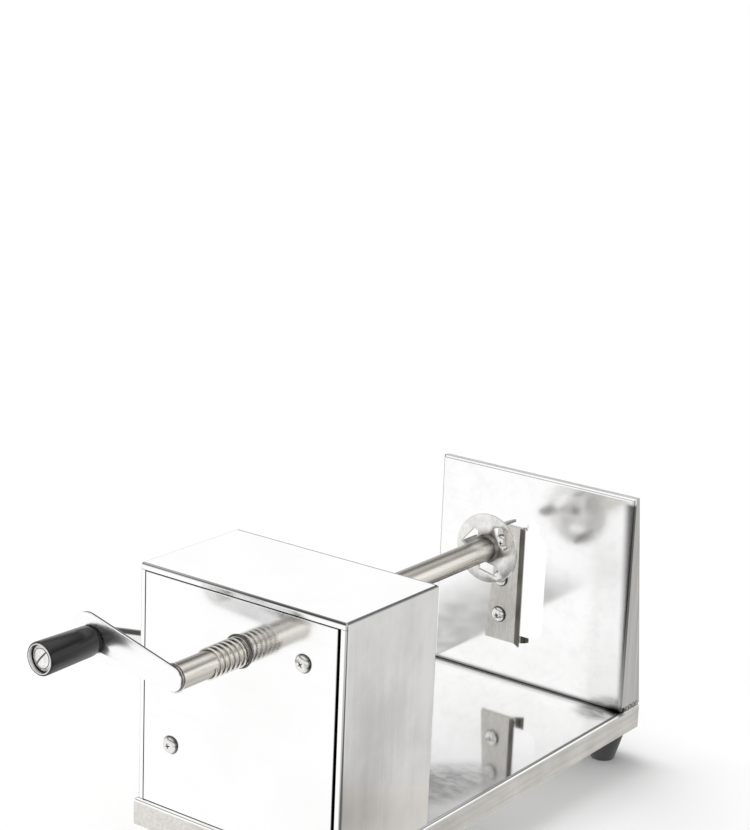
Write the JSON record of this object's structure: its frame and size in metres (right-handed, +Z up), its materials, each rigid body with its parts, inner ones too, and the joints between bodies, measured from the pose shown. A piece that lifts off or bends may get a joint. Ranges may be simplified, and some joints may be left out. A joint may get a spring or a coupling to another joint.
{
  "type": "tornado potato cutter",
  "caption": "Hand-cranked spiral slicer: a screw-fed shaft with a pronged disc pushes a potato against a fixed knife on an upright slotted plate, over a long tray on rubber feet.",
  "frame": {"origin": "on the table, under the centre of the tray, midway between its front and rear skirts", "axes": "+Y from the crank towards the knife, +Z up, +X to the right seen from the crank"},
  "size_m": [0.1722, 0.3866, 0.1687],
  "materials": {
    "polished_steel": "mirror polished",
    "satin_steel": "brushed",
    "zinc_steel": "bright zinc",
    "black_plastic": "semi-gloss moulded",
    "nylon": "moulded",
    "rubber": "matt"
  },
  "bodies": {
    "frame": {"base_tray": "polished_steel", "end_plate": "polished_steel", "weld_beads": "satin_steel", "housing_cover": "polished_steel", "front_panel": "polished_steel", "mechanism_bracket": "satin_steel", "rear_panel": "satin_steel", "front_bush": "black_plastic", "rear_bush": "nylon", "pivot_pin": "zinc_steel", "pin_clip": "zinc_steel", "spring_cup": "satin_steel", "lever_spring": "satin_steel", "rubber_feet": "rubber", "foot_screws": "zinc_steel", "foot_nuts": "zinc_steel", "tray_bolts": "zinc_steel", "tray_nuts": "zinc_steel", "knife": "satin_steel", "knife_screws": "zinc_steel", "knife_nuts": "zinc_steel", "panel_screws": "zinc_steel", "panel_nuts": "zinc_steel"},
    "guide_sleeve": {"guide_sleeve": "satin_steel", "sleeve_ring": "zinc_steel"},
    "crank_shaft": {"shaft_tube": "polished_steel", "feed_wire": "polished_steel", "stick_socket": "polished_steel", "arm_weld": "satin_steel", "disc_weld": "satin_steel", "crank_arm": "polished_steel", "grip_bolt": "zinc_steel", "grip_washer": "zinc_steel", "grip_nut": "zinc_steel", "prong_disc": "polished_steel"},
    "grip": {"grip": "black_plastic", "grip_ring": "zinc_steel"},
    "release_lever": {"lever_plate": "satin_steel", "lever_hub": "satin_steel", "lever_rod": "polished_steel", "spring_pin": "satin_steel"}
  },
  "joints": [
    {"name": "crank_turn", "type": "hinge", "parent": "frame", "child": "guide_sleeve", "pos_m": [0, 0, 0.1354], "axis": [0, 1, 0], "range_deg": [-11160, 2700]},
    {"name": "shaft_feed", "type": "slide", "parent": "guide_sleeve", "child": "crank_shaft", "axis": [0, 1, 0], "range_m": [-0.115, 0.028]},
    {"name": "grip_spin", "type": "hinge", "parent": "crank_shaft", "child": "grip", "pos_m": [-0.0552, -0.22, 0.1413], "axis": [0, 1, 0], "continuous": true},
    {"name": "lever_press", "type": "hinge", "parent": "frame", "child": "release_lever", "pos_m": [-0.032, -0.1385, 0.1269], "axis": [0, 1, 0], "range_deg": [0, 6], "stiffness_Nm_per_rad": 0.16, "springref_deg": -11.46, "deforming": ["lever_spring"]}
  ],
  "couplings": [
    {"joint": "shaft_feed", "follows": "crank_turn", "m_per_rad": 0.00058887}
  ]
}
